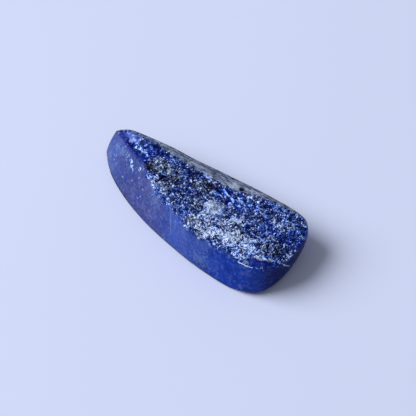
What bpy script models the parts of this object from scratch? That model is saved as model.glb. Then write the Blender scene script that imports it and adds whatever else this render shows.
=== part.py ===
"""Rough azurite: one small fang-shaped stone, ground smooth round its wall and left rough on top.

It lies on its flat underside. The tip points to -X, the broad end to +X, the long bowed side
to -Y and the nearly straight side to +Y. The origin is the middle of the underside.
"""
import math
import random

import bmesh
import bpy
import numpy as np
from mathutils import Vector, noise
from mathutils.geometry import delaunay_2d_cdt, interpolate_bezier

MM = 0.001
STONE = "stone"
COLLECTION = "rough_azurite"

# The stone's outline, in mm, anticlockwise from the tip: where the wall meets the ground
# (foot) and where it meets the rough top face (rim)
FOOT_AND_RIM = [
    ((-19.1, 3.3), (-17.8, 4.6)),
    ((-17.5, 1.5), (-15.9, 4.0)),
    ((-15.0, -0.6), (-13.1, 2.4)),
    ((-11.8, -2.4), (-10.2, 1.2)),
    ((-8.3, -3.9), (-6.8, -1.2)),
    ((-4.4, -5.2), (-3.4, -3.1)),
    ((-0.3, -6.2), (0.2, -4.1)),
    ((4.0, -7.0), (4.2, -6.1)),
    ((8.7, -7.6), (8.9, -6.2)),
    ((12.6, -7.7), (13.0, -6.3)),
    ((15.8, -7.2), (16.0, -5.9)),
    ((17.6, -5.3), (17.9, -4.2)),
    ((18.3, -2.2), (18.9, -1.8)),
    ((18.2, 1.5), (19.0, 1.5)),
    ((17.5, 4.7), (18.4, 5.0)),
    ((15.6, 7.0), (16.2, 6.9)),
    ((11.5, 7.6), (11.5, 7.4)),
    ((5.0, 7.6), (5.0, 7.3)),
    ((-2.0, 7.5), (-2.0, 7.0)),
    ((-9.0, 7.3), (-9.0, 6.9)),
    ((-14.0, 6.8), (-13.9, 6.5)),
    ((-17.2, 5.4), (-16.3, 6.0)),
]
FIRST_FAR_KNOT = 15

# Height of the top face, in mm, at places along X: over the bowed rim, in the middle and
# over the straight rim
STATIONS = (-18.0, -14.0, -9.0, -3.0, 4.0, 10.0, 16.0, 19.0)
NEAR_HEIGHTS = (4.8, 5.3, 5.9, 6.2, 6.2, 5.9, 5.5, 5.0)
MIDDLE_HEIGHTS = (4.9, 5.2, 5.7, 6.1, 6.2, 6.1, 5.7, 5.1)
FAR_HEIGHTS = (4.8, 4.9, 4.9, 4.9, 5.0, 5.0, 5.0, 4.8)

# Smooth ledge that slopes up from the straight rim: widths in mm at the same places, the share
# of the rise that it takes, and the width of the low scarp at its inner edge
LEDGE_WIDTHS = (0.5, 1.0, 1.5, 2.1, 2.3, 1.4, 0.7, 0.4)
LEDGE_RISE, SCARP_WIDTH = 0.75, 0.6

# Lumps (positive) and hollows (negative) of the top face, in mm:
# centre x, centre y, half length along X, half width along Y, height
LUMPS = {
    "knob": (-14.8, 4.8, 1.6, 0.8, 0.5),
    "crevice": (-13.0, 3.6, 0.9, 0.5, -0.8),
    "tip_ridge": (-11.4, 4.6, 1.6, 0.6, 0.4),
    "first_hollow": (-8.2, 1.4, 1.0, 0.7, -0.7),
    "grey_swell": (-5.5, 3.0, 1.7, 0.8, 0.45),
    "second_hollow": (-4.3, 0.7, 1.5, 0.7, -0.7),
    "back_hollow": (-1.2, 4.2, 1.2, 0.5, -0.55),
    "back_hollow_right": (1.5, 3.6, 1.6, 0.6, -0.5),
    "white_patch": (4.4, 0.2, 1.6, 1.0, 0.3),
    "rim_swell": (0.2, -2.2, 2.0, 0.8, 0.3),
    "lower_swell": (7.6, -3.2, 2.6, 1.0, 0.3),
    "small_pit": (8.0, 3.2, 0.7, 0.5, -0.5),
    "right_hollow": (12.6, 0.2, 1.5, 0.9, -0.4),
    "right_lump": (15.2, 3.0, 1.5, 1.1, 0.25),
    "corner_chip": (15.2, -5.2, 1.3, 0.7, -0.55),
}

# Roughness of the top face, in mm
SWELL_SIZE, SWELL_HEIGHT = 4.2, 0.35
LUMP_SIZE, LUMP_HEIGHT = 1.7, 0.35
CRYSTAL_SIZE, CRYSTAL_TILT, CRYSTAL_STEP = 1.05, 0.6, 0.28
CRYSTAL_SHUFFLE = 3.7
RIM_CALM, RIM_SHARE = 0.7, 0.35
LEDGE_EDGE, LEDGE_SHARE = 0.4, 0.06
CREST_WIDTH = 3.0

# Ground wall, in mm
FOOT_ROUNDING, END_ROUNDING = 0.3, 1.1
END_START, END_LENGTH = 12.5, 3.0
WALL_LEVELS = (0.0, 0.05, 0.13, 0.25, 0.42, 0.6, 0.78, 0.91)
WALL_BOW = 0.22
WALL_WAVE_SIZE, WALL_WAVE = 5.0, 0.12
RIM_CHIP_SIZE, RIM_CHIP = 1.1, 0.3
RIM_REACH = 5

# Mesh fineness, in mm
WALL_SPACING = 0.55
TOP_SPACING = 0.43
TOP_JITTER = 0.12
RIM_CLEARANCE = 0.6
SEED = 7

# Finish of the stone: mean blue of the ground wall
BLUE = (0.035, 0.055, 0.30, 1.0)
ROUGHNESS = 0.55
SHARP_ANGLE = math.radians(35)


def clear_scene():
    for old in list(bpy.data.objects):
        bpy.data.objects.remove(old, do_unlink=True)


def smooth_loop(knots, steps):
    """Closed smooth curve through the knots, with a sharp corner at the first one."""
    count = len(knots)
    points = []
    for i in range(count):
        before, start = Vector(knots[i - 1]), Vector(knots[i])
        end, after = Vector(knots[(i + 1) % count]), Vector(knots[(i + 2) % count])
        leave = start if i == 0 else start + (end - before) / 6
        arrive = end if i == count - 1 else end - (after - start) / 6
        points += interpolate_bezier(start, leave, arrive, end, steps[i] + 1)[:-1]
    return np.array([(p.x, p.y) for p in points])


def outlines():
    """Foot and rim loops with matching points, and the index where the straight side starts."""
    feet = [Vector(foot) for foot, rim in FOOT_AND_RIM]
    count = len(feet)
    spans = [(feet[(i + 1) % count] - feet[i]).length for i in range(count)]
    steps = [max(2, round(span / WALL_SPACING)) for span in spans]
    foot = smooth_loop([foot for foot, rim in FOOT_AND_RIM], steps)
    rim = smooth_loop([rim for foot, rim in FOOT_AND_RIM], steps)
    return foot, rim, sum(steps[:FIRST_FAR_KNOT])


def outward(loop):
    """Unit normals of an anticlockwise loop."""
    along = np.roll(loop, -1, axis=0) - np.roll(loop, 1, axis=0)
    normal = np.stack([along[:, 1], -along[:, 0]], axis=1)
    return normal / np.linalg.norm(normal, axis=1)[:, None]


def chipped(rim, far_start):
    """The rim with small bites out of its edge, save along the straight side."""
    bites = np.array([max(0.0, noise.noise(Vector((x, y, 0.0)) / RIM_CHIP_SIZE)) for x, y in rim])
    bites[far_start:] = 0.0
    return rim - outward(rim) * (RIM_CHIP * bites)[:, None]


def smoothstep(value):
    value = min(1.0, max(0.0, value))
    return value * value * (3 - 2 * value)


def crystal_facets(x, y):
    """Tilted flat faces that meet in steps, one to each cell of the surface."""
    place = Vector((x, y, 0.0)) / CRYSTAL_SIZE
    centre = noise.voronoi(place)[1][0]
    tilt = noise.noise_vector(centre * CRYSTAL_SHUFFLE)
    lean = tilt.x * (place.x - centre.x) + tilt.y * (place.y - centre.y)
    return CRYSTAL_TILT * CRYSTAL_SIZE * lean + CRYSTAL_STEP * tilt.z


def distance(loop, x, y):
    return np.min(np.hypot(loop[:, 0] - x, loop[:, 1] - y))


def calm_height(x, y, rim, far_rim):
    """Height of the top face over a point before its roughness, in mm."""
    near, middle, far, ledge = (
        np.interp(x, STATIONS, row)
        for row in (NEAR_HEIGHTS, MIDDLE_HEIGHTS, FAR_HEIGHTS, LEDGE_WIDTHS)
    )
    height = near + (middle - near) * smoothstep(distance(rim, x, y) / CREST_WIDTH)
    inward = distance(far_rim, x, y)
    scarp = smoothstep((inward - ledge) / SCARP_WIDTH)
    risen = LEDGE_RISE * min(1.0, inward / ledge) + (1 - LEDGE_RISE) * scarp
    return far + (height - far) * risen


def top_height(x, y, rim, far_rim):
    """Height of the rough top face over a point, in mm."""
    height = calm_height(x, y, rim, far_rim)
    ledge = np.interp(x, STATIONS, LEDGE_WIDTHS)
    off_ledge = smoothstep((distance(far_rim, x, y) - ledge) / LEDGE_EDGE)
    off_rim = smoothstep(distance(rim, x, y) / RIM_CALM)
    share = RIM_SHARE + (1 - RIM_SHARE) * off_rim
    for centre_x, centre_y, half_x, half_y, rise in LUMPS.values():
        reach = ((x - centre_x) / half_x) ** 2 + ((y - centre_y) / half_y) ** 2
        height += rise * math.exp(-reach) * share
    place = Vector((x, y, 0.0))
    height += SWELL_HEIGHT * noise.noise(place / SWELL_SIZE) * share
    relief = LUMP_HEIGHT * noise.noise(place / LUMP_SIZE) + crystal_facets(x, y)
    return height + relief * share * (LEDGE_SHARE + (1 - LEDGE_SHARE) * off_ledge)


def top_points(rim, rng):
    """Jittered staggered points inside the rim, clear of its edge."""
    inner = []
    row_step = TOP_SPACING * math.sqrt(3) / 2
    low, high = rim.min(axis=0), rim.max(axis=0)
    for row in range(int((high[1] - low[1]) / row_step) + 1):
        stagger = TOP_SPACING / 2 * (row % 2)
        for column in range(int((high[0] - low[0]) / TOP_SPACING) + 1):
            x = low[0] + stagger + column * TOP_SPACING + rng.uniform(-TOP_JITTER, TOP_JITTER)
            y = low[1] + row * row_step + rng.uniform(-TOP_JITTER, TOP_JITTER)
            if distance(rim, x, y) > RIM_CLEARANCE * TOP_SPACING:
                inner.append((x, y))
    return inner


def top_sheet(bm, rim, far_rim):
    """The rough face as a triangulated sheet; returns its rim vertices in order."""
    inner = top_points(rim, random.Random(SEED))
    flat = [Vector(p) for p in rim.tolist() + inner]
    outline = [list(range(len(rim)))]
    points, _, faces, origins, _, _ = delaunay_2d_cdt(flat, [], outline, 1, 1e-6)
    verts = [
        bm.verts.new(Vector((p.x, p.y, top_height(p.x, p.y, rim, far_rim))) * MM)
        for p in points
    ]
    for face in faces:
        bm.faces.new([verts[i] for i in face])
    place = {first: i for i, sources in enumerate(origins) for first in sources}
    return [verts[place[i]] for i in range(len(rim))]


def wall_ring(foot, rim, rim_heights, level):
    """One ring of the ground wall, level running from 0 at the foot to 1 at the rim, in mm."""
    ring = foot + (rim - foot) * level
    normal = outward(foot)
    for i, (x, y) in enumerate(ring):
        height = level * rim_heights[i]
        end = smoothstep((foot[i, 0] - END_START) / END_LENGTH)
        radius = FOOT_ROUNDING + (END_ROUNDING - FOOT_ROUNDING) * end
        tuck = radius - math.sqrt(radius ** 2 - max(0.0, radius - height) ** 2)
        wave = WALL_WAVE * noise.noise(Vector((x, y, height)) / WALL_WAVE_SIZE)
        push = (WALL_BOW + wave) * math.sin(math.pi * level) - tuck
        yield Vector((x + normal[i, 0] * push, y + normal[i, 1] * push, height)) * MM


def wall(bm, top_ring, foot, rim, far_rim):
    """The ground wall, laid ring by ring from the rim to the foot; returns the foot ring."""
    calm = np.array([calm_height(x, y, rim, far_rim) for x, y in rim])
    rough = np.array([vert.co.z / MM for vert in top_ring])
    upper = top_ring
    for level in reversed(WALL_LEVELS):
        rim_heights = calm + (rough - calm) * level ** RIM_REACH
        lower = [bm.verts.new(place) for place in wall_ring(foot, rim, rim_heights, level)]
        for i, vert in enumerate(lower):
            after = (i + 1) % len(lower)
            bm.faces.new([vert, lower[after], upper[after], upper[i]])
        upper = lower
    return upper


def centre_on_origin(bm):
    """Puts the middle of the outline over the origin and the underside at height 0."""
    low = [min(vert.co[axis] for vert in bm.verts) for axis in range(3)]
    high = [max(vert.co[axis] for vert in bm.verts) for axis in range(3)]
    shift = Vector((-(low[0] + high[0]) / 2, -(low[1] + high[1]) / 2, -low[2]))
    bmesh.ops.translate(bm, verts=bm.verts, vec=shift)


def azurite_material():
    material = bpy.data.materials.new("azurite_blue")
    material.use_nodes = True
    shader = material.node_tree.nodes["Principled BSDF"]
    shader.inputs["Base Color"].default_value = BLUE
    shader.inputs["Roughness"].default_value = ROUGHNESS
    shader.inputs["Metallic"].default_value = 0.0
    material.diffuse_color = BLUE
    return material


def make_stone(collection):
    foot, rim, far_start = outlines()
    worn_rim = chipped(rim, far_start)
    bm = bmesh.new()
    top_ring = top_sheet(bm, worn_rim, worn_rim[far_start:])
    foot_ring = wall(bm, top_ring, foot, rim, rim[far_start:])
    bm.faces.new(list(reversed(foot_ring)))
    bmesh.ops.triangulate(bm, faces=bm.faces)
    bmesh.ops.recalc_face_normals(bm, faces=bm.faces)
    centre_on_origin(bm)
    mesh = bpy.data.meshes.new(STONE)
    bm.to_mesh(mesh)
    bm.free()
    mesh.shade_smooth()
    mesh.set_sharp_from_angle(angle=SHARP_ANGLE)
    mesh.materials.append(azurite_material())
    stone = bpy.data.objects.new(STONE, mesh)
    collection.objects.link(stone)
    return stone


def main():
    clear_scene()
    collection = bpy.data.collections.new(COLLECTION)
    bpy.context.scene.collection.children.link(collection)
    make_stone(collection)


main()
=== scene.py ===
"""Rough azurite: the looks of the stone, its fine rough face, its crystal grains and its light."""
import math

import bmesh
import bpy
import numpy as np
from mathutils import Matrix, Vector, noise


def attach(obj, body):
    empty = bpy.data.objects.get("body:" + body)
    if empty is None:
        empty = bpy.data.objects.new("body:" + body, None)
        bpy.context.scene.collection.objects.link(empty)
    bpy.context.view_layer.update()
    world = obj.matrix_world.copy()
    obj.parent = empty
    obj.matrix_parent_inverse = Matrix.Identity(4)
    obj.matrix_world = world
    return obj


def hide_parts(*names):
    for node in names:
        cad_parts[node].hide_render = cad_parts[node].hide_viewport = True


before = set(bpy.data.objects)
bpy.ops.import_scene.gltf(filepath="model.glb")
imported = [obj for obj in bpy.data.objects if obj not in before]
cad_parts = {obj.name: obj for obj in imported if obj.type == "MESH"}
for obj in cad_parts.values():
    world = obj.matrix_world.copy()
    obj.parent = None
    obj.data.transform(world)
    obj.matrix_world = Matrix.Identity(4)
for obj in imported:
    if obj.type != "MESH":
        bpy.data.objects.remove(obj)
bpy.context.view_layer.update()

MM = 0.001
STONE = "stone"
BODY = "root"

# Rim of the solid: how many rings of points lie below it, how many places are taken along each of
# its edges, and the Y in mm beyond which it is the straight side
RINGS_TO_RIM = 8
RIM_STEPS = 5
FAR_SIDE = 5.0

# Fine division of the solid: points closer than this many metres are one, triangles flatter than the
# angle are joined, and the rim and the foot stay this hard while every face is halved twice each way
SAME_POINT = 1e-6
JOIN_ANGLE = math.radians(40)
RIM_HARDNESS, FOOT_HARDNESS = 0.8, 0.6
DIVISIONS = 2

# A point counts as part of the top face or its rim above this value of the attribute "rough"
ON_FACE = 0.2

# Kinds of mineral on the top face and where each is common, in mm:
# centre x, centre y, half length along X, half width along Y, share
ZONES = {
    "knob": [(-14.5, 4.9, 1.5, 0.95, 1.0)],
    "marbled": [
        (-11.6, 3.9, 2.6, 1.3, 1.0), (-8.4, 4.4, 1.6, 0.8, 0.8), (-2.2, 3.3, 2.2, 1.2, 0.8),
        (-11.4, 2.2, 2.0, 0.6, 0.8)],
    "bare": [(15.5, -5.0, 1.3, 0.75, 1.0), (16.8, -4.6, 1.2, 0.75, 1.0), (17.7, -3.9, 0.8, 0.6, 1.0)],
    "streaked": [(5.8, 2.9, 3.6, 1.2, 1.0)],
    "white": [
        (7.0, -4.6, 2.5, 1.5, 1.0), (9.5, -3.6, 1.7, 2.0, 1.0), (10.3, -2.9, 1.0, 0.9, 1.0),
        (8.8, -0.5, 1.3, 1.0, 0.8), (5.6, -2.6, 2.2, 1.2, 0.7), (3.3, -4.0, 1.2, 1.1, 0.7),
        (12.0, -3.0, 1.8, 1.2, 0.7), (13.6, -4.3, 1.9, 1.1, 0.7), (-5.0, -1.4, 2.2, 1.1, 0.4),
        (7.7, 4.5, 0.8, 0.35, 0.8), (14.6, 2.9, 1.3, 1.0, 0.2), (12.8, -5.3, 1.2, 0.6, 0.6)],
    "quartz": [
        (4.85, -0.35, 1.55, 1.3, 1.0), (9.8, -4.0, 1.3, 1.2, 0.3), (6.1, -5.3, 0.9, 0.55, 0.6),
        (8.9, -0.2, 0.7, 0.4, 0.4), (15.5, -4.1, 0.7, 0.25, 1.0), (16.3, -3.7, 0.6, 0.25, 1.0),
        (17.0, -3.1, 0.5, 0.3, 1.0)],
    "rind_pale": [
        (4.3, 5.0, 1.7, 1.0, 0.85), (10.7, 5.3, 1.7, 0.6, 1.0), (-3.2, 5.6, 1.3, 0.5, 0.5),
        (7.6, 6.2, 1.6, 0.4, 0.6), (-10.0, 6.5, 1.5, 0.3, 0.4)],
    "rind_dark": [
        (0.4, 6.2, 2.2, 0.5, 0.8), (-6.0, 6.4, 2.5, 0.4, 0.7), (8.0, 5.5, 1.2, 0.4, 0.7),
        (14.5, 6.3, 2.5, 0.5, 0.8), (1.0, 5.0, 0.9, 0.4, 0.5)],
    "pale": [
        (-15.3, 5.5, 1.5, 0.6, 0.6), (13.4, -4.0, 2.2, 1.4, 0.55), (13.0, -5.4, 1.4, 0.6, 0.7),
        (-12.4, 5.2, 1.3, 0.9, 0.5), (-10.4, 3.6, 2.0, 1.0, 0.35), (-10.0, 2.4, 0.6, 0.5, 0.9),
        (13.8, 0.6, 0.7, 0.6, 0.9), (-5.8, -2.2, 1.6, 0.7, 0.7), (6.4, 2.6, 2.8, 0.5, 0.5),
        (0.6, -1.2, 1.6, 1.2, 0.3), (16.2, -3.2, 1.3, 0.9, 0.6)],
    "grey": [
        (-7.2, 1.8, 1.4, 1.7, 0.9), (-4.8, 1.8, 1.5, 1.2, 0.8), (1.0, 2.6, 2.0, 1.3, 0.9),
        (1.4, -0.8, 2.0, 1.2, 0.6), (15.8, -2.0, 1.5, 1.3, 0.45), (-12.6, 5.1, 1.0, 0.8, 0.5),
        (3.4, -4.2, 1.2, 1.0, 0.5)],
    "dark": [
        (-8.0, 0.8, 1.1, 0.6, 1.0), (-4.4, 0.5, 1.8, 0.7, 1.0), (-1.5, 3.0, 1.0, 1.6, 1.0),
        (1.6, 2.8, 1.2, 1.0, 0.9), (-13.9, 3.9, 1.3, 0.45, 1.0), (-9.4, 5.0, 1.2, 1.0, 0.7),
        (17.2, -1.2, 1.6, 1.3, 0.6), (-1.2, -0.8, 1.8, 1.0, 0.5), (-10.9, 4.2, 0.7, 0.5, 0.6)],
    "vivid": [
        (-11.3, 2.1, 1.9, 0.6, 1.0), (6.0, 2.9, 3.6, 1.3, 0.9), (1.5, -3.5, 1.3, 1.1, 1.0),
        (13.6, 1.2, 1.5, 1.2, 1.0), (18.0, 3.2, 1.3, 2.8, 1.0), (11.4, -5.3, 1.4, 0.7, 1.0),
        (15.6, -5.2, 1.0, 0.8, 1.0), (13.4, 5.6, 2.0, 1.0, 0.9), (16.4, 1.2, 1.2, 1.2, 0.8),
        (-5.5, 4.2, 2.0, 0.8, 0.8), (-10.5, 4.3, 2.6, 1.1, 0.6), (-12.5, 3.2, 1.5, 0.6, 0.7),
        (-0.2, -0.3, 0.9, 0.5, 0.6)],
}

# Edges of the zones: how big the rags are in mm, how deep they cut, there and in the smooth zones,
# and how soft the edge is
RAG_SIZE, RAG_DEPTH, SMOOTH_RAG_DEPTH = 0.9, 0.8, 0.3
SMOOTH_ZONES = ("knob", "bare", "quartz")
ZONE_EDGE = 0.5

# Smooth ledge along the straight rim, in mm: its width at stations along X, the depth of the rags in
# its inner edge, how soft that edge is, and the lowest Y that it reaches
STATIONS = (-18.0, -14.0, -12.0, -9.0, -5.0, -1.0, 3.0, 6.0, 8.0, 12.0, 16.0, 19.0)
LEDGE_WIDTHS = (0.1, 0.6, 1.2, 1.6, 2.3, 2.5, 3.1, 2.9, 2.0, 1.5, 0.6, 0.1)
LEDGE_RAG, LEDGE_EDGE, LEDGE_LOWEST_Y = 0.35, 0.3, 3.5

# Black spot on the ledge, in mm: its middle and its half sizes
SPOT_X, SPOT_Y, SPOT_HALF_X, SPOT_HALF_Y = 5.8, 5.45, 0.45, 0.32

# Rind of the ledge: the squeeze along X that draws its streaks out, and where it turns blue along X,
# in mm
RIND_SQUEEZE = 0.22
BLUE_RIND_COMES = (-8.0, -11.0)

# Crumbled edge that spills from the rim onto the ground wall, in mm: its reach along X, its depth,
# how much of the depth it keeps everywhere and how far the rags add to it, and how soft it ends
CRUMBLE_START, CRUMBLE_END, CRUMBLE_DEPTH, CRUMBLE_EDGE = -8.5, 4.5, 0.8, 0.15
CRUMBLE_LEAST, CRUMBLE_RAG = 0.5, 1.2

# Dark smooth band below the knob, along the bowed rim, in mm: its reach along X, its width, the depth
# of the rags in its edge, and how soft that edge is
BAND_START, BAND_END, BAND_WIDTH, BAND_RAG, BAND_EDGE = -17.5, -9.5, 0.9, 0.8, 0.25

# Pale edge of the front chip, in mm: its reach along X and its width
PALE_EDGE_START, PALE_EDGE_END, PALE_EDGE_WIDTH = 13.3, 15.7, 0.15

# Pale chips and blotches in the ground wall, in mm: x, y, z, radius and how strong; the broad faint
# blotches in the last row are painted sheen
CHIPS_AND_SHEEN_PATCHES = [(-12.0, 0.9, 4.5, 0.36, 0.85), (-11.6, 0.5, 4.2, 0.34, 0.8), (-11.1, 0.1, 3.9, 0.26, 0.6),
         (-9.7, 0.05, 5.0, 0.40, 0.9), (-13.2, 1.7, 4.4, 0.5, 0.25), (-14.6, 2.2, 4.1, 0.9, 0.14),
         (-16.3, 2.9, 3.6, 0.8, 0.10), (-17.3, 2.2, 1.8, 0.6, 0.10),
         # Broad faint pale blotches: painted sheen on the wall
         (-4.2, -3.2, 5.2, 1.8, 0.10), (7.4, -6.6, 4.9, 1.3, 0.04), (7.1, -7.2, 2.3, 1.6, 0.10)]
CHIP_AND_SHEEN_RAG = 3.5

# Fine pale vein in the bowed side, in mm: it starts at an X at its top and leans towards the broad end
# as it falls to its foot, and it shows only below a Y and within a span of X
VEIN_WANDER = 0.25
FRONT_VEIN_X, FRONT_VEIN_TOP, FRONT_VEIN_LEAN, FRONT_VEIN_FOOT = -0.5, 5.5, 0.335, 2.3
FRONT_VEIN_HIGHEST_Y, FRONT_VEIN_START, FRONT_VEIN_END = -3.0, -2.0, 2.0

# Fine pale vein in the broad end, in mm: it passes through a Y and a Z and slopes, and it shows only
# beyond an X and above a Y, and fades over a stretch of Y
END_VEIN_Y, END_VEIN_Z, END_VEIN_SLOPE, END_VEIN_WANDER = -0.6, 2.6, 1.23, 4.0
END_VEIN_LOWEST_X, END_VEIN_LOWEST_Y, END_VEIN_FADES = 17.5, -3.2, (-0.4, -1.4)

# Where each colour of the ground wall comes in or goes along X, in mm, how far its edge drifts,
# and the heights between which painted contact shade darkens the wall at its foot
WALL_DRIFT = 7.0
# The purple-grey patches towards the tip are partly the wall's own tint and partly painted sheen
GREY_COMES, PINK_AND_SHEEN_COMES, PINK_AND_SHEEN_GOES = (-17.0, -13.0), (-13.0, -9.0), (3.0, -1.0)
# The near-black navy of the broad end is partly the stone's own dark blue and partly painted shade of
# the end turned from the window
BLUE_COMES, DEEP_COMES, END_AND_SHADE_COMES = (-5.0, 1.0), (4.0, 11.0), (16.8, 18.2)
# Navy clouds darken the wall from the middle towards the broad end: partly mottling, partly painted
# shade of the side turned from the window
# The pale violet haze is partly mottling of the wall and partly painted sheen, and it fades towards the
# broad end
NAVY_AND_SHADE_COMES, HAZE_AND_SHEEN_GOES, SPECKS_GO = (0.0, 8.0), (19.0, 15.0), (12.0, -8.0)
FOOT_PAINTED_SHADE_HEIGHTS = (0.60, 0.30)

# Parallel streaks of the top face: their turn from X, and how much longer they are than wide
STREAK_TURN, STREAK_STRETCH = math.radians(-21), 4.0

# Fine relief of the rough face, in mm: facets, pits and the slow waves of the wall, how fast the
# relief comes in from the rim, how facets are lifted and tilted unlike each other, and how much of
# the relief the smooth parts lose
FACET_SIZE, FACET_HEIGHT = 0.45, 0.18
PIT_SIZE, PIT_HEIGHT = 0.22, 0.06
WALL_WAVE_SIZE, WALL_WAVE = 1.8, 0.02
RELIEF_GAIN, FACET_LIFT, TILT_SPACING = 1.3, 0.5, 5.3
TILT_SHIFTS = (Vector((9.3, -1.5, -7.9)), Vector((0.0, 0.0, 0.0)), Vector((6.3, 0.2, -2.7)))
CALMED = {"ledge": 0.8, "knob": 0.8, "bare": 0.9, "band": 0.5}

# Fringe along the rim: how much of the relief and of a grain's size is left at the rim, and how far
# from it, in mm, the grains start to grow and both are whole
RIM_RELIEF, RIM_GRAIN = 0.35, 0.45
FRINGE_START, FRINGE_END = 0.1, 0.7

# Crystal grains, in mm: their spacing, their size, how far they may stand above the face's top,
# and how many are tried on a square metre
GRAIN_SPACING, GRAIN_SIZE = 0.21, 0.26
HIGHEST_GRAIN = 0.06
GRAINS_TRIED = 9e7

# Where grains lie: the ragged edge of the rough face that they come in at, and the share that each
# kind of place loses
GRAIN_RAG, GRAIN_EDGE = 0.35, (0.3, 0.6)
CLEARED = {"knob": 0.9, "bare": 0.95, "streaked": 0.75, "marbled": 0.8, "quartz": 0.7}
BAND_CLEARED = 0.8

# Clean edge without grains, in mm: where along X it comes in, and how far from the rim it ends
CLEAN_EDGE_COMES, CLEAN_EDGE = (4.0, 7.0), (0.25, 0.6)

# Share of the grains that is left near the tip, and where along X the rest come in, in mm
TIP_DENSITY, TIP_EDGE = 0.65, (-8, -4)

# Shapes of the crystals as shares of the grain size, how far each tilts and spins in radians,
# how its sides and its size vary, and the seed of each random choice
BLOCK = {"Size": (1.5, 0.7, 0.4)}
WEDGE = {"Vertices": 4, "Radius Top": 0.4, "Radius Bottom": 0.7, "Depth": 0.45}
POINT = {"Vertices": 5, "Radius Top": 0.1, "Radius Bottom": 0.6, "Depth": 0.8}
MOST_TILT, MOST_SPIN = 0.8, 6.28
THINNEST, THICKEST = 0.75, 1.25
SMALLEST, SIZE_RANGE = 0.65, 0.95
SEEDS = {"scatter": 3, "pick": 11, "tilt": 5, "spin": 7, "size": 17, "sides": 9, "kind": 13}

# Number that a grain is picked out by: its range, the step that spreads it for a random colour,
# and the shift that gives another random number for the bright grains
PICKS, PICK_STEP, BRIGHT_SHIFT = 100.0, 7.0, 13.7

# Sockets of a random choice: lowest, highest and result
RANDOM_SOCKETS = {"FLOAT": (2, 3, 1), "INT": (4, 5, 2), "FLOAT_VECTOR": (0, 1, 0)}

# Sockets of the shader, under the names that the finishes use
SURFACE_SOCKETS = {"colour": "Base Color", "roughness": "Roughness", "normal": "Normal", "ior": "IOR",
                   "shine": "Specular IOR Level", "coat": "Coat Weight",
                   "coat_roughness": "Coat Roughness"}

# Kinds of crystal: how each shifts the tone, which goes from 0 dark to 1 pale, how it widens the
# spread of tones, and how it draws the colour towards the vivid blues and towards the greys
TONE_SHIFTS = {"white": 0.56, "quartz": 0.64, "pale": 0.24, "dark": -0.24, "grey": 0.08, "vivid": -0.05}
TONE_SPREADS = {"white": 0.3, "quartz": -0.75}
TONE_SCALES = {"white": 0.12}
VIVID_SHARES = {"vivid": 0.85, "pale": 0.9, "quartz": -0.8, "white": -0.45}
GREY_SHARES = {"grey": 0.9, "dark": 0.3, "vivid": -0.4, "quartz": 0.5, "white": 0.15}
MIDDLE_TONE, TONE_SCALE, CLUMPING, VIVID_LIFT, LEAST_VIVID = 0.41, 0.85, 1.2, 0.06, 0.12

# Contrast and middle of the crystals' luck, on the rough face and on the grains
FACE_CONTRAST, FACE_MIDDLE = 1.9, 0.46
GRAIN_CONTRAST, GRAIN_MIDDLE = 1.95, 0.57

# Share of the grains that are bright, and how thick their clear coat is
BRIGHT_GRAINS, BRIGHT_COAT = 0.12, 0.6

# Colours of the crystals from the darkest to the palest, linear: how far along, colour
BLUES = ((0.00, (0.0010, 0.0020, 0.028, 1)), (0.10, (0.0030, 0.0056, 0.056, 1)),
         (0.24, (0.0075, 0.0190, 0.135, 1)), (0.40, (0.023, 0.048, 0.235, 1)),
         (0.55, (0.052, 0.094, 0.33, 1)), (0.70, (0.110, 0.182, 0.47, 1)),
         (0.80, (0.225, 0.335, 0.60, 1)), (0.90, (0.420, 0.560, 0.81, 1)),
         (1.00, (0.72, 0.83, 1.0, 1)))
VIVIDS = ((0.00, (0.0010, 0.0024, 0.048, 1)), (0.20, (0.0024, 0.0080, 0.135, 1)),
          (0.40, (0.0070, 0.030, 0.28, 1)), (0.58, (0.017, 0.072, 0.48, 1)),
          (0.75, (0.060, 0.18, 0.66, 1)), (0.90, (0.198, 0.40, 0.87, 1)),
          (1.00, (0.54, 0.72, 1.0, 1)))
GREYS = ((0.00, (0.0020, 0.0026, 0.0100, 1)), (0.20, (0.0115, 0.0165, 0.040, 1)),
         (0.45, (0.047, 0.066, 0.120, 1)), (0.65, (0.106, 0.145, 0.215, 1)),
         (0.85, (0.240, 0.310, 0.43, 1)), (1.00, (0.57, 0.67, 0.84, 1)))

# Single colours, linear
DEEP_BLUE = (0.004, 0.026, 0.36, 1)
PALE_BLUE = (0.18, 0.42, 1.0, 1)
NAVY = (0.003, 0.009, 0.11, 1)
SPECK = (0.30, 0.38, 0.66, 1)
BLACK = (0.003, 0.004, 0.016, 1)
WHITE = (0.80, 0.91, 1.0, 1)
WALL_TIP = (0.060, 0.090, 0.28, 1)
WALL_GREY = (0.043, 0.058, 0.19, 1)
# Purple-grey patches: partly the wall's own tint, partly painted sheen
WALL_PINK_AND_SHEEN = (0.086, 0.072, 0.22, 1)
WALL_BLUE = (0.042, 0.082, 0.33, 1)
WALL_DEEP = (0.004, 0.036, 0.29, 1)
# Pale violet haze: partly mottling, partly painted sheen
WALL_HAZE_AND_SHEEN = (0.095, 0.125, 0.34, 1)
# Broad end: partly the stone's own dark blue, partly painted shade
WALL_END_AND_SHADE = (0.003, 0.007, 0.072, 1)
# Pale chips, and painted sheen in the broad faint blotches
CHIP_AND_SHEEN_PALE = (0.42, 0.66, 0.95, 1)
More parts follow.
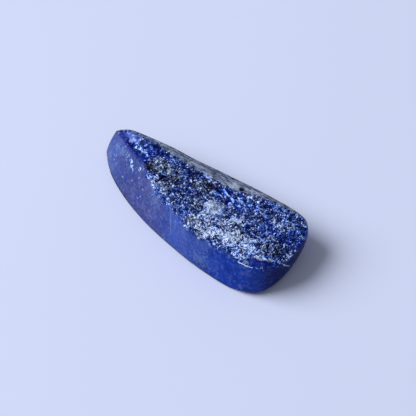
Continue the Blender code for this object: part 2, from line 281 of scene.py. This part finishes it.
# Painted contact shade at the foot of the ground wall
FOOT_PAINTED_SHADE = (0.001, 0.002, 0.03, 1)
RIND = (0.165, 0.205, 0.305, 1)
RIND_DARK = (0.045, 0.060, 0.105, 1)
RIND_PALE = (0.34, 0.41, 0.55, 1)
RIND_WHITE = (0.56, 0.60, 0.70, 1)
RIND_EDGE = (0.024, 0.028, 0.042, 1)
VIVID_TINT = (0.16, 0.26, 0.95, 1)
FLOOR = (0.70, 0.74, 0.88, 1)
FLOOR_TINT = (0.69, 0.73, 0.87, 1)
SKY = (0.76, 0.80, 0.95, 1)
WINDOW = (0.87, 0.90, 1.0, 1)

# The photograph's view: where it looks and from how far in mm, in which direction in degrees,
# the lens and the sensor's width in mm, and the nearest and farthest that is seen, in metres
VIEW_TARGET, VIEW_DISTANCE = (1.0, 3.3, 0.0), 260
VIEW_AZIMUTH, VIEW_ELEVATION = 35.5, 50.0
LENS, SENSOR_WIDTH = 144.0, 36.0
NEAREST, FARTHEST = 0.01, 20.0

# Strength of the sky's light, and the floor's half width in metres and its divisions
SKY_STRENGTH = 0.315
FLOOR_REACH, FLOOR_DIVISIONS = 2.0, 8


class Value:
    """A socket that takes part in Python expressions."""

    def __init__(self, graph, socket):
        self.graph = graph
        self.socket = socket

    def maths(self, operation, *others):
        return self.graph.maths(operation, self, *others)

    def __add__(self, other):
        return self.maths("ADD", other)

    def __radd__(self, other):
        return self.maths("ADD", other)

    def __sub__(self, other):
        return self.maths("SUBTRACT", other)

    def __rsub__(self, other):
        return self.graph.maths("SUBTRACT", other, self)

    def __mul__(self, other):
        return self.maths("MULTIPLY", other)

    def __rmul__(self, other):
        return self.maths("MULTIPLY", other)

    def __truediv__(self, other):
        return self.maths("DIVIDE", other)

    def __lt__(self, other):
        return self.maths("LESS_THAN", other)

    def __gt__(self, other):
        return self.maths("GREATER_THAN", other)

    def __abs__(self):
        return self.maths("ABSOLUTE")

    def rises(self, low, high):
        """0 below low, 1 above high, smooth between them; low may be the greater one."""
        values = {"Value": self, "From Min": low, "From Max": high}
        return self.graph.add("ShaderNodeMapRange", {"interpolation_type": "SMOOTHSTEP"}, values)


class Graph:
    """A node tree being built."""

    def __init__(self, tree):
        self.tree = tree

    def add(self, kind, settings=None, values=None, output=0):
        """A new node's output, its settings made first and then its sockets fed, by name or number."""
        node = self.tree.nodes.new(kind)
        for name, setting in (settings or {}).items():
            setattr(node, name, setting)
        for key, value in (values or {}).items():
            self.feed(node.inputs[key], value)
        return Value(self, node.outputs[output])

    def feed(self, socket, value):
        if isinstance(value, Value):
            self.tree.links.new(value.socket, socket)
        else:
            socket.default_value = value

    def maths(self, operation, *operands):
        return self.add("ShaderNodeMath", {"operation": operation}, dict(enumerate(operands)))

    def scaled(self, vector, factor):
        values = {"Vector": vector, "Scale": factor}
        return self.add("ShaderNodeVectorMath", {"operation": "SCALE"}, values)

    def distance(self, place, spot):
        return self.add("ShaderNodeVectorMath", {"operation": "DISTANCE"}, {0: place, 1: spot}, "Value")

    def joined(self, x, y, z):
        return self.add("ShaderNodeCombineXYZ", None, {"X": x, "Y": y, "Z": z})

    def split(self, vector):
        node = self.add("ShaderNodeSeparateXYZ", None, {"Vector": vector}).socket.node
        return [Value(self, output) for output in node.outputs]

    def mix(self, first, second, share):
        """Colour that goes from first to second as share goes from 0 to 1."""
        return self.add("ShaderNodeMix", {"data_type": "RGBA"}, {0: share, 6: first, 7: second}, 2)

    def layered(self, base, layers):
        """The base colour under its layers in turn, each a colour and the share of it that shows."""
        for colour, share in layers:
            base = self.mix(base, colour, share)
        return base

    def noise(self, place, size, detail, rough=0.5, swirl=0.0):
        """Cloudy noise from 0 to 1, its clouds about size across in the units of place."""
        values = {"Vector": place, "Scale": 1 / size, "Detail": detail, "Roughness": rough,
                  "Distortion": swirl}
        return self.add("ShaderNodeTexNoise", None, values)

    def cells(self, place, size, output):
        """Random cells about size across: Distance to their middle, Color or Position."""
        return self.add("ShaderNodeTexVoronoi", None, {"Vector": place, "Scale": 1 / size}, output)

    def ramp(self, share, stops):
        """Colour along the stops, each a share from 0 to 1 and its colour."""
        colour = self.add("ShaderNodeValToRGB", None, {"Fac": share})
        elements = colour.socket.node.color_ramp.elements
        elements.remove(elements[1])
        elements[0].position, elements[0].color = stops[0]
        for position, shade in stops[1:]:
            elements.new(position).color = shade
        return colour

    def random(self, seed):
        """Even random number from 0 to 1 for each value of seed."""
        return self.add("ShaderNodeTexWhiteNoise", {"noise_dimensions": "1D"}, {"W": seed}, "Value")


def weighed(kinds, weights):
    """Sum of the named kinds, each times its weight."""
    return sum(weight * kinds[name] for name, weight in weights.items())


class Finish(Graph):
    """A material being built, with places on the stone in mm."""

    def __init__(self, name):
        self.material = bpy.data.materials.new(name)
        self.material.use_nodes = True
        super().__init__(self.material.node_tree)
        self.shader = self.tree.nodes["Principled BSDF"]
        coordinates = self.add("ShaderNodeTexCoord", None, None, "Object")
        self.place = self.scaled(coordinates, 1 / MM)

    def attribute(self, name, output="Fac"):
        return self.add("ShaderNodeAttribute", {"attribute_name": name}, None, output)

    def surface(self, **values):
        """The finished material, with the values that its surface is made of."""
        for name, value in values.items():
            self.feed(self.shader.inputs[SURFACE_SOCKETS[name]], value)
        return self.material

    def bump(self, height, distance, strength):
        values = {"Height": height, "Distance": distance, "Strength": strength}
        return self.add("ShaderNodeBump", None, values)

    def minerals(self, place, luck):
        """Colour of the crystal at a place, luck being how pale it is among its like, 0 to 1."""
        kinds = {name: self.attribute(name) for name in TONE_SHIFTS}
        clumps = self.noise(place, size=0.9, detail=2.0)
        hues = self.noise(place, size=1.1, detail=3.0, rough=0.6)
        tone = MIDDLE_TONE + (luck - 0.5) * (1.0 + weighed(kinds, TONE_SPREADS))
        tone = tone + CLUMPING * (clumps - 0.5) * (1 - kinds["quartz"]) + weighed(kinds, TONE_SHIFTS)
        tone = tone * (TONE_SCALE + weighed(kinds, TONE_SCALES))
        vivid = LEAST_VIVID + weighed(kinds, VIVID_SHARES) + 0.8 * hues.rises(0.46, 0.60)
        grey = weighed(kinds, GREY_SHARES) + 0.4 * hues.rises(0.44, 0.34)
        return self.layered(self.ramp(tone, BLUES), (
            (self.ramp(tone + VIVID_LIFT, VIVIDS), vivid.rises(0.0, 1.0)),
            (self.ramp(tone, GREYS), grey.rises(0.0, 1.1))))


def rough_stone_finish():
    """Ground wall, smooth grey ledge, blue knob and the rough face under the grains."""
    finish = Finish("azurite_stone")
    x, y, z = finish.split(finish.place)
    rough = finish.attribute("crumbled")
    fine = finish.noise(finish.place, size=0.45, detail=3.0, rough=0.6)
    banded = finish.noise(finish.place, size=0.55, detail=3.0, rough=0.6, swirl=1.0)
    knob_blue = finish.mix(finish.ramp(banded.rises(0.30, 0.66) * 0.96, BLUES), VIVID_TINT, 0.35)
    deep_blue = finish.ramp(banded.rises(0.30, 0.70) * 0.5, VIVIDS)
    off_rim = finish.attribute("off_rim") + 0.2 * (fine - 0.5)
    pale_edge = off_rim.rises(PALE_EDGE_WIDTH, 0.4 * PALE_EDGE_WIDTH)
    pale_edge = pale_edge * (x > PALE_EDGE_START) * (x < PALE_EDGE_END) * (y < 0.0)
    colour = finish.layered(wall_colour(finish, x, y, z, fine), (
        (rough_colour(finish, x, y, z), rough),
        (ledge_colour(finish, x, y, z), finish.attribute("ledge")),
        (knob_blue, finish.attribute("knob") * rough),
        (deep_blue, finish.attribute("band") * 0.85),
        (deep_blue, finish.attribute("bare") * rough),
        (WHITE, pale_edge * 0.8)))

    sugar = finish.noise(finish.place, size=0.12, detail=2.0)
    height = sugar * (0.15 + 0.85 * rough) + fine * 0.5
    normal = finish.bump(height, distance=0.06 * MM, strength=0.6)
    roughness = 0.36 + 0.14 * finish.noise(finish.place, size=3.0, detail=3.0)
    return finish.surface(colour=colour, roughness=roughness, normal=normal, ior=1.6, shine=0.06)


def wall_colour(finish, x, y, z, fine):
    """Ground wall: violet-grey towards the tip, deep blue towards the broad end, with specks."""
    clouds = finish.noise(finish.place, size=3.0, detail=3.0, rough=0.55)
    small = finish.noise(finish.place, size=1.0, detail=3.0, rough=0.6)
    haze_and_sheen = finish.noise(finish.place, size=1.4, detail=4.0, rough=0.7, swirl=0.5)
    drift = x + WALL_DRIFT * (clouds - 0.5)
    # Purple-grey patches: partly the wall's own tint, partly painted sheen
    pink_and_sheen = small.rises(0.47, 0.62) * drift.rises(*PINK_AND_SHEEN_COMES) * drift.rises(*PINK_AND_SHEEN_GOES)
    speck = finish.cells(finish.place, size=0.9, output="Distance").rises(0.24, 0.08)
    speck = speck * finish.noise(finish.place, size=1.7, detail=1.0).rises(0.45, 0.6)
    return finish.layered(WALL_TIP, (
        (WALL_GREY, drift.rises(*GREY_COMES)),
        (WALL_PINK_AND_SHEEN, pink_and_sheen * 0.8),
        (WALL_BLUE, drift.rises(*BLUE_COMES) * (1 - 0.6 * pink_and_sheen)),
        (WALL_DEEP, drift.rises(*DEEP_COMES)),
        # Broad end: partly the stone's own dark blue, partly painted shade
        (WALL_END_AND_SHADE, x.rises(*END_AND_SHADE_COMES)),
        (WALL_BLUE, small.rises(0.52, 0.68) * 0.3),
        # Navy clouds towards the broad end: partly mottling, partly painted shade
        (NAVY, clouds.rises(0.46, 0.60) * x.rises(*NAVY_AND_SHADE_COMES) * 0.40),
        # Pale violet haze: partly mottling, partly painted sheen
        (WALL_HAZE_AND_SHEEN, haze_and_sheen.rises(0.50, 0.66) * x.rises(*HAZE_AND_SHEEN_GOES) * 0.45),
        (DEEP_BLUE, haze_and_sheen.rises(0.47, 0.36) * 0.35),
        (NAVY, fine.rises(0.50, 0.70) * 0.45),
        (PALE_BLUE, fine.rises(0.45, 0.27) * 0.20),
        (SPECK, speck * x.rises(*SPECKS_GO) * 0.75),
        # Painted contact shade: the wall darkens towards its foot
        (FOOT_PAINTED_SHADE, (z + 0.3 * (small - 0.5)).rises(*FOOT_PAINTED_SHADE_HEIGHTS)),
        *chip_and_sheen_layers(finish),
        *vein_layers(finish, x, y, z)))


def chip_and_sheen_layers(finish):
    """Pale chips and blotches of the ground wall, ragged at their edges; the broad faint ones are
    painted sheen.
    """
    rag = CHIP_AND_SHEEN_RAG * (finish.noise(finish.place, size=0.3, detail=1.0) - 0.5)
    layers = []
    for *middle, radius, strength in CHIPS_AND_SHEEN_PATCHES:
        away = finish.distance(finish.place, middle) / radius
        layers.append((CHIP_AND_SHEEN_PALE, (away + rag).rises(1.0, 0.4) * strength))
    return layers


def vein_layers(finish, x, y, z):
    """The two fine pale veins of the ground wall, on its bowed side and on its broad end."""
    wander = (finish.noise(finish.place, size=0.8, detail=2.0) - 0.5) * VEIN_WANDER
    off_front = x - FRONT_VEIN_X - (FRONT_VEIN_TOP - z) * FRONT_VEIN_LEAN + wander
    front = abs(off_front).rises(0.09, 0.03) * (z > FRONT_VEIN_FOOT) * (y < FRONT_VEIN_HIGHEST_Y)
    front = front * (x > FRONT_VEIN_START) * (x < FRONT_VEIN_END)
    off_end = z - END_VEIN_Z + (y - END_VEIN_Y) * END_VEIN_SLOPE + END_VEIN_WANDER * wander
    end = abs(off_end).rises(0.15, 0.03) * (x > END_VEIN_LOWEST_X)
    end = end * (y > END_VEIN_LOWEST_Y) * y.rises(*END_VEIN_FADES)
    return (SPECK, front * 0.35), (WHITE, end * 0.75)


def rough_colour(finish, x, y, z):
    """Rough face between the grains: crystals with flaws, streaked or marbled here and there."""
    crystal = finish.split(finish.cells(finish.place, size=0.42, output="Color"))[0]
    flaws = finish.noise(finish.place, size=0.36, detail=2.0, rough=0.55, swirl=0.8)
    luck = 0.35 * crystal + 0.65 * flaws.rises(0.37, 0.63)
    along, across = math.cos(STREAK_TURN), math.sin(STREAK_TURN)
    place = finish.joined((x * along + y * across) / STREAK_STRETCH, y * along - x * across, z)
    streaks = finish.noise(place, size=0.42, detail=2.0, rough=0.6).rises(0.34, 0.66)
    luck = luck + (streaks - luck) * 0.8 * finish.attribute("streaked")
    marbles = finish.noise(finish.place, size=0.8, detail=3.0, rough=0.65, swirl=0.5)
    luck = luck + (marbles.rises(0.36, 0.65) - luck) * 0.85 * finish.attribute("marbled")
    return finish.minerals(finish.place, (luck - 0.5) * FACE_CONTRAST + FACE_MIDDLE)


def ledge_colour(finish, x, y, z):
    """Smooth ledge: blue-grey rind with fine streaks along it, pale patches and one black spot."""
    place = finish.joined(x * RIND_SQUEEZE, y, z)
    streaks = finish.noise(place, size=0.30, detail=3.0, rough=0.6, swirl=0.6)
    patches = finish.noise(finish.place, size=0.5, detail=3.0, rough=0.7)
    pale_rind = finish.mix(RIND_PALE, RIND_WHITE, patches.rises(0.44, 0.56))
    outer = finish.attribute("off_rim") + 0.9 * (patches - 0.5)
    spot_x, spot_y = (x - SPOT_X) / SPOT_HALF_X, (y - SPOT_Y) / SPOT_HALF_Y
    return finish.layered(RIND, (
        (RIND_DARK, streaks.rises(0.50, 0.56)),
        (RIND_PALE, streaks.rises(0.46, 0.38)),
        (pale_rind, finish.attribute("rind_pale") * patches.rises(0.36, 0.50)),
        (RIND_EDGE, finish.attribute("rind_dark") * patches.rises(0.60, 0.46) * 0.7),
        (DEEP_BLUE, patches.rises(0.46, 0.36) * x.rises(*BLUE_RIND_COMES) * 0.7),
        (RIND_EDGE, outer.rises(0.26, 0.08) * 0.7),
        (BLACK, (spot_x * spot_x + spot_y * spot_y).rises(1.5, 0.9))))


def grain_finish():
    """Crystal grains, each of one mineral."""
    finish = Finish("azurite_grains")
    pick = finish.attribute("pick") * PICK_STEP
    flaws = finish.noise(finish.place, size=0.3, detail=2.0).rises(0.35, 0.65)
    luck = 0.75 * finish.random(pick) + 0.25 * flaws
    seat = finish.attribute("seat", "Vector")
    colour = finish.minerals(seat, (luck - 0.5) * GRAIN_CONTRAST + GRAIN_MIDDLE)
    coat = (finish.random(pick + BRIGHT_SHIFT) < BRIGHT_GRAINS) * BRIGHT_COAT
    return finish.surface(colour=colour, roughness=0.4, ior=1.6, shine=0.04, coat=coat,
                          coat_roughness=0.1)


def floor_finish():
    """Pale lavender floor with a faint tint in it."""
    finish = Finish("pale_floor")
    tint = finish.noise(finish.place, size=60.0, detail=1.0).rises(0.2, 0.8)
    return finish.surface(colour=finish.mix(FLOOR, FLOOR_TINT, tint), roughness=0.7)


def shown(name, data):
    """A new object of that name in the scene."""
    thing = bpy.data.objects.new(name, data)
    bpy.context.scene.collection.objects.link(thing)
    return thing


def solid_copy():
    """The stone's solid as one closed mesh."""
    solid = bmesh.new()
    solid.from_mesh(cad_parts[STONE].data)
    bmesh.ops.remove_doubles(solid, verts=solid.verts, dist=SAME_POINT)
    return solid


def ring_numbers(solid):
    """How many rings each vertex stands above the underside."""
    ring = {vert: 0 for vert in solid.verts if vert.co.z < SAME_POINT}
    newest = list(ring)
    while newest:
        grown = []
        for vert in newest:
            for edge in vert.link_edges:
                other = edge.other_vert(vert)
                if other not in ring:
                    ring[other] = ring[vert] + 1
                    grown.append(other)
        newest = grown
    return ring


def rim_places(edge, ring):
    """Places in mm along an edge of the rim, or none if it isn't one."""
    first, last = edge.verts
    if ring[first] != RINGS_TO_RIM or ring[last] != RINGS_TO_RIM:
        return []
    return [first.co.lerp(last.co, step / RIM_STEPS) / MM for step in range(RIM_STEPS)]


def evaluated_copy(source, name):
    """A plain mesh object of what source's modifiers make of it; source goes."""
    bpy.context.view_layer.update()
    evaluated = source.evaluated_get(bpy.context.evaluated_depsgraph_get())
    mesh = bpy.data.meshes.new_from_object(evaluated)
    mesh.name = name
    result = shown(name, mesh)
    bpy.data.objects.remove(source)
    return result


def fine_stone():
    """The stone's surface, finely divided, marked with its zones and roughened."""
    solid = solid_copy()
    rough = solid.verts.layers.float.new("rough")
    crease = solid.edges.layers.float.new("crease_edge")
    ring = ring_numbers(solid)
    rim = np.array([tuple(place) for edge in solid.edges for place in rim_places(edge, ring)])
    for vert in solid.verts:
        vert[rough] = float(ring[vert] > RINGS_TO_RIM) + 0.5 * (ring[vert] == RINGS_TO_RIM)
    for edge in solid.edges:
        rings = [ring[vert] for vert in edge.verts]
        if rings == [RINGS_TO_RIM, RINGS_TO_RIM]:
            edge[crease] = RIM_HARDNESS
        elif rings == [0, 0]:
            edge[crease] = FOOT_HARDNESS
    bmesh.ops.join_triangles(solid, faces=solid.faces, angle_face_threshold=JOIN_ANGLE,
                             angle_shape_threshold=JOIN_ANGLE)
    mesh = bpy.data.meshes.new("fine_stone")
    solid.to_mesh(mesh)
    solid.free()
    coarse = shown("coarse_stone", mesh)
    divide = coarse.modifiers.new("divide", "SUBSURF")
    divide.levels = divide.render_levels = DIVISIONS
    stone = evaluated_copy(coarse, "stone_surface")
    mark_zones(stone.data, rim)
    roughen(stone.data)
    return stone


def places_of(mesh):
    """Places of a mesh's vertices in mm, one row each."""
    places = np.empty(len(mesh.vertices) * 3, dtype=np.float32)
    mesh.vertices.foreach_get("co", places)
    return places.reshape(-1, 3) / MM


def values_of(mesh, name):
    """The number that each vertex keeps under a name."""
    values = np.empty(len(mesh.vertices), dtype=np.float32)
    mesh.attributes[name].data.foreach_get("value", values)
    return values


def store(mesh, name, values):
    """Keeps one number for each vertex under a name that materials can read."""
    data = mesh.attributes.new(name, "FLOAT", "POINT").data
    data.foreach_set("value", np.asarray(values, dtype=np.float32))


def noise_at(places, size):
    """Noise from about -0.5 to 0.5 at each place, its swells about size across."""
    return np.array([noise.noise(Vector(place)) for place in places / size])


def rise(values, low, high):
    """0 below low, 1 above high, smooth between them."""
    share = np.clip((values - low) / (high - low), 0, 1)
    return share * share * (3 - 2 * share)


def between(values, start, end):
    """1 from start to end, fading to 0 over the first and the last mm."""
    return rise(values, start, start + 1) * rise(-values, -end, 1 - end)


def away_from(places, rim, axes):
    """Distance of each place from the nearest rim place, over the first axes."""
    away = np.full(len(places), np.inf)
    for spot in rim:
        away = np.minimum(away, np.linalg.norm(places[:, :axes] - spot[:axes], axis=1))
    return away


def zone_share(x, y, ragged, spots):
    """How much of a mineral lies at each place, from the spots where it is common."""
    share = np.zeros(len(x))
    for centre_x, centre_y, half_x, half_y, most in spots:
        reach = ((x - centre_x) / half_x) ** 2 + ((y - centre_y) / half_y) ** 2
        inside = 1 - rise(reach + ragged, 1 - ZONE_EDGE, 1 + ZONE_EDGE)
        share = np.maximum(share, most * inside)
    return share


def grain_density(mesh, x, ragged, off_rim):
    """How thick the grains lie, from 0 to 1, before the ledge and the band are cleared."""
    density = rise(ragged, *GRAIN_EDGE)
    density *= 1 - rise(x, *CLEAN_EDGE_COMES) * (1 - rise(off_rim, *CLEAN_EDGE))
    density *= TIP_DENSITY + (1 - TIP_DENSITY) * rise(x, *TIP_EDGE)
    for name, cleared in CLEARED.items():
        density *= 1 - cleared * values_of(mesh, name)
    return density


def mark_zones(mesh, rim):
    """Marks the mineral zones, the ledge, the crumbled edge, the band and the grains' places."""
    places = places_of(mesh)
    x, y = places[:, 0], places[:, 1]
    rough = values_of(mesh, "rough")
    on_face = rough > ON_FACE
    rag = noise_at(places, RAG_SIZE)
    for name, spots in ZONES.items():
        depth = SMOOTH_RAG_DEPTH if name in SMOOTH_ZONES else RAG_DEPTH
        store(mesh, name, zone_share(x, y, 2 * rag * depth, spots))
    off_rim = away_from(places, rim, 3)
    from_straight_rim = away_from(places, rim[rim[:, 1] > FAR_SIDE], 2)
    from_rim = away_from(places, rim, 2)

    width = np.interp(x, STATIONS, LEDGE_WIDTHS) + LEDGE_RAG * rag
    ledge = rise(width - from_straight_rim, 0, LEDGE_EDGE) * on_face * (y > LEDGE_LOWEST_Y)
    store(mesh, "ledge", ledge)

    depth = CRUMBLE_DEPTH * (CRUMBLE_LEAST + CRUMBLE_RAG * rag)
    crumble = rise(depth - off_rim, 0, CRUMBLE_EDGE)
    crumble *= between(x, CRUMBLE_START, CRUMBLE_END)
    rough = np.maximum(rough, crumble * (y < FAR_SIDE))
    store(mesh, "crumbled", rough)

    band = rise(BAND_WIDTH + BAND_RAG * rag - off_rim, 0, BAND_EDGE) * on_face * (y < FAR_SIDE)
    band *= between(x, BAND_START, BAND_END)
    store(mesh, "band", band)
    store(mesh, "off_rim", off_rim)

    density = grain_density(mesh, x, rough + GRAIN_RAG * rag, off_rim)
    store(mesh, "density", density * (1 - ledge) * (1 - BAND_CLEARED * band))
    store(mesh, "grain", RIM_GRAIN + (1 - RIM_GRAIN) * rise(from_rim, FRINGE_START, FRINGE_END))


def streaked(place):
    """The place turned and squeezed, so that a pattern there lies in long parallel streaks."""
    along, across = math.cos(STREAK_TURN), math.sin(STREAK_TURN)
    lengthwise = along * place.x + across * place.y
    crosswise = along * place.y - across * place.x
    return Vector((lengthwise / STREAK_STRETCH, crosswise, place.z))


def facets(place, size):
    """Tilted flat faces in cells of that size, from about -0.5 to 0.5."""
    place = place / size
    nearest_cell = noise.voronoi(place)[1][0]
    tilt = Vector([noise.noise(nearest_cell * TILT_SPACING + shift) for shift in TILT_SHIFTS])
    return tilt.dot(place - nearest_cell) + FACET_LIFT * tilt.z


def roughen(mesh):
    """Pushes the rough face in and out in small facets and pits, and leaves the wall nearly smooth."""
    rough = values_of(mesh, "rough")
    streaks = values_of(mesh, "streaked")
    calm = 1.0
    for name, calmed in CALMED.items():
        calm = calm * (1 - calmed * values_of(mesh, name))
    calm *= RIM_RELIEF + (1 - RIM_RELIEF) * rise(values_of(mesh, "off_rim"), 0, FRINGE_END)
    normals = [Vector(n.vector) for n in mesh.vertex_normals]
    for vert, normal in zip(mesh.vertices, normals):
        place = vert.co / MM
        share = min(1.0, rough[vert.index] * RELIEF_GAIN)
        relief = facets(place, FACET_SIZE)
        if streaks[vert.index] > 0:
            relief += (facets(streaked(place), FACET_SIZE) - relief) * float(streaks[vert.index])
        push = FACET_HEIGHT * relief + PIT_HEIGHT * noise.noise(place / PIT_SIZE)
        wave = WALL_WAVE * noise.noise(place / WALL_WAVE_SIZE)
        vert.co += normal * (push * share * calm[vert.index] + wave * (1 - share)) * MM
        vert.co.z = max(vert.co.z, 0.0)
    mesh.update()


def random_choice(graph, kind, low, high, choice):
    """A random FLOAT, INT or FLOAT_VECTOR from low to high, with the seed of that choice."""
    lowest, highest, result = RANDOM_SOCKETS[kind]
    values = {lowest: low, highest: high, "Seed": SEEDS[choice]}
    return graph.add("FunctionNodeRandomValue", {"data_type": kind}, values, result)


def turned(graph, rotation, low, high, choice):
    """The rotation turned further about its own axes, by angles from low to high."""
    angles = random_choice(graph, "FLOAT_VECTOR", low, high, choice)
    turn = graph.add("FunctionNodeEulerToRotation", None, {"Euler": angles})
    values = {"Rotation": rotation, "Rotate By": turn}
    return graph.add("FunctionNodeRotateRotation", {"rotation_space": "LOCAL"}, values)


def named(graph, name):
    """The number that the stone's surface keeps under a name."""
    return graph.add("GeometryNodeInputNamedAttribute", {"data_type": "FLOAT"}, {"Name": name})


def marked(graph, points, kind, name, value):
    """The points with a value of that kind kept under a name."""
    values = {"Geometry": points, "Name": name, "Value": value}
    return graph.add("GeometryNodeStoreNamedAttribute", {"data_type": kind, "domain": "POINT"}, values)


def crystal_kinds(graph):
    """The three shapes of crystal, one instance each: a block, a wedge and a point."""
    kinds = graph.tree.nodes.new("GeometryNodeGeometryToInstance")
    graph.feed(kinds.inputs[0], graph.add("GeometryNodeMeshCube", None, BLOCK))
    graph.feed(kinds.inputs[0], graph.add("GeometryNodeMeshCone", None, WEDGE))
    graph.feed(kinds.inputs[0], graph.add("GeometryNodeMeshCone", None, POINT))
    return Value(graph, kinds.outputs[0])


def grain_tree(material):
    """Crystals of three shapes scattered on the rough face, each turned and sized at random."""
    tree = bpy.data.node_groups.new("crystal_grains", "GeometryNodeTree")
    sockets = tree.interface
    sockets.new_socket("Geometry", in_out="INPUT", socket_type="NodeSocketGeometry")
    spacing = sockets.new_socket("Spacing", in_out="INPUT", socket_type="NodeSocketFloat")
    size = sockets.new_socket("Grain size", in_out="INPUT", socket_type="NodeSocketFloat")
    sockets.new_socket("Geometry", in_out="OUTPUT", socket_type="NodeSocketGeometry")
    graph = Graph(tree)
    given = tree.nodes.new("NodeGroupInput")
    face, gap, grain = (Value(graph, given.outputs[i]) for i in range(3))
    density, share = (named(graph, name) for name in ("density", "grain"))

    scatter = {"Mesh": face, "Distance Min": gap, "Density Max": GRAINS_TRIED,
               "Density Factor": density, "Seed": SEEDS["scatter"]}
    points = graph.add("GeometryNodeDistributePointsOnFaces", {"distribute_method": "POISSON"}, scatter)
    upright = Value(graph, points.socket.node.outputs["Rotation"])
    place = graph.scaled(graph.add("GeometryNodeInputPosition"), 1 / MM)
    points = marked(graph, points, "FLOAT_VECTOR", "seat", place)
    points = marked(graph, points, "FLOAT", "pick", random_choice(graph, "FLOAT", 0.0, PICKS, "pick"))

    tilted = turned(graph, upright, (-MOST_TILT,) * 3, (MOST_TILT,) * 3, "tilt")
    spun = turned(graph, tilted, (0, 0, 0), (0, 0, MOST_SPIN), "spin")
    luck = random_choice(graph, "FLOAT", 0.0, 1.0, "size")
    spread = (SMALLEST + SIZE_RANGE * luck * luck * luck) * share
    sides = random_choice(graph, "FLOAT_VECTOR", (THINNEST,) * 3, (THICKEST,) * 3, "sides")
    crowd = {"Points": points, "Instance": crystal_kinds(graph), "Pick Instance": True,
             "Instance Index": random_choice(graph, "INT", 0, 2, "kind"), "Rotation": spun,
             "Scale": graph.scaled(graph.scaled(sides, grain), spread)}
    crystals = graph.add("GeometryNodeInstanceOnPoints", None, crowd)
    whole = graph.add("GeometryNodeRealizeInstances", None, {"Geometry": crystals})
    done = graph.add("GeometryNodeSetMaterial", None, {"Geometry": whole, "Material": material})
    out = tree.nodes.new("NodeGroupOutput")
    graph.feed(out.inputs[0], done)
    return tree, spacing, size


def crystal_grains(stone):
    """The grains as one plain mesh, none of them much higher than the stone's own top."""
    seedbed = shown("seedbed", stone.data.copy())
    tree, spacing, size = grain_tree(grain_finish())
    top = max(vert.co.z for vert in stone.data.vertices)
    modifier = seedbed.modifiers.new("grains", "NODES")
    modifier.node_group = tree
    modifier[spacing.identifier] = GRAIN_SPACING * MM
    modifier[size.identifier] = GRAIN_SIZE * MM
    grains = evaluated_copy(seedbed, "crystal_grains")
    for vert in grains.data.vertices:
        vert.co.z = min(vert.co.z, top + HIGHEST_GRAIN * MM)
    bpy.data.node_groups.remove(tree)
    return grains


def look_at(thing, target):
    thing.rotation_euler = (Vector(target) - thing.location).to_track_quat("-Z", "Y").to_euler()


def direction(azimuth, elevation):
    """Unit vector towards an azimuth, counted from the bowed side, and an elevation, in degrees."""
    turn, lift = math.radians(azimuth), math.radians(elevation)
    return Vector((math.sin(turn) * math.cos(lift), -math.cos(turn) * math.cos(lift), math.sin(lift)))


def camera():
    """The photograph's view: from above the bowed side, a little from the broad end."""
    data = bpy.data.cameras.new("camera")
    data.lens, data.sensor_width = LENS, SENSOR_WIDTH
    data.clip_start, data.clip_end = NEAREST, FARTHEST
    thing = shown("camera", data)
    target = Vector(VIEW_TARGET) * MM
    thing.location = target + direction(VIEW_AZIMUTH, VIEW_ELEVATION) * VIEW_DISTANCE * MM
    look_at(thing, target)
    bpy.context.scene.camera = thing


def soft_light(name, azimuth, elevation, distance, size, power, colour):
    """A round lamp that faces the stone, its distance and size in metres."""
    data = bpy.data.lights.new(name, "AREA")
    data.shape, data.size = "DISK", size
    data.energy, data.color = power, colour[:3]
    thing = shown(name, data)
    thing.location = direction(azimuth, elevation) * distance
    look_at(thing, (0, 0, 0))


def studio():
    """Pale light from all round, and one broad window at the left."""
    world = bpy.data.worlds.new("soft_room")
    world.use_nodes = True
    background = world.node_tree.nodes["Background"]
    background.inputs["Color"].default_value = SKY
    background.inputs["Strength"].default_value = SKY_STRENGTH
    bpy.context.scene.world = world
    soft_light("window", azimuth=-63.0, elevation=40.0, distance=1.5, size=1.25, power=30.5,
               colour=WINDOW)
    bpy.context.scene.view_settings.view_transform = "Standard"


def floor():
    """The pale surface under the stone, for the picture only."""
    grid = bmesh.new()
    bmesh.ops.create_grid(grid, x_segments=FLOOR_DIVISIONS, y_segments=FLOOR_DIVISIONS,
                          size=FLOOR_REACH)
    mesh = bpy.data.meshes.new("floor")
    grid.to_mesh(mesh)
    grid.free()
    mesh.materials.append(floor_finish())
    shown("floor", mesh)


def main():
    camera()
    studio()
    floor()
    stone = fine_stone()
    stone.data.materials.append(rough_stone_finish())
    stone.data.shade_smooth()
    grains = crystal_grains(stone)
    for piece in (stone, grains):
        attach(piece, BODY)
    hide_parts(STONE)


main()
